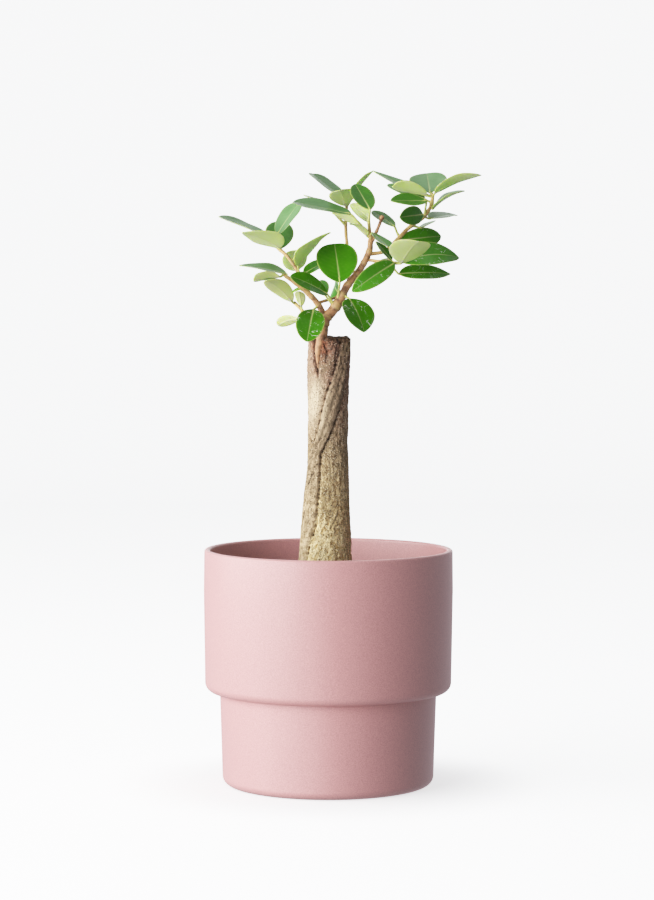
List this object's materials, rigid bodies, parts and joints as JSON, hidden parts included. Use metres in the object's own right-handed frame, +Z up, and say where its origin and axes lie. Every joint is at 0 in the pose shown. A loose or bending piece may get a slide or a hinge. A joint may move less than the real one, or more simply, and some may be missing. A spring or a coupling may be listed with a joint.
{
  "type": "potted chinese banyan",
  "caption": "Small potted ficus: a cut, bare trunk with a sprouted crown of round thick leaves, standing in soil in a stepped pink stoneware pot.",
  "frame": {"origin": "centre of the pot's flat base", "axes": "+Z up, +X to the right and -Y towards the viewer of the picture"},
  "size_m": [0.2324, 0.21, 0.5184],
  "materials": {
    "pink_stoneware": "matt dusty pink stoneware, finely speckled",
    "potting_soil": "loose dark brown potting soil",
    "grey_bark": "rough grey-tan bark with pale pores",
    "leaf_green": "thick waxy green leaf on a red-brown twig"
  },
  "bodies": {
    "root": {"pot": "pink_stoneware", "soil": "potting_soil", "trunk": "grey_bark", "stem_right": "leaf_green", "stem_left": "leaf_green", "stem_upper_left": "leaf_green", "stem_lower_left": "leaf_green", "stem_top": "leaf_green", "stem_far_right": "leaf_green", "stem_lower_right": "leaf_green", "stem_back": "leaf_green"}
  },
  "joints": []
}
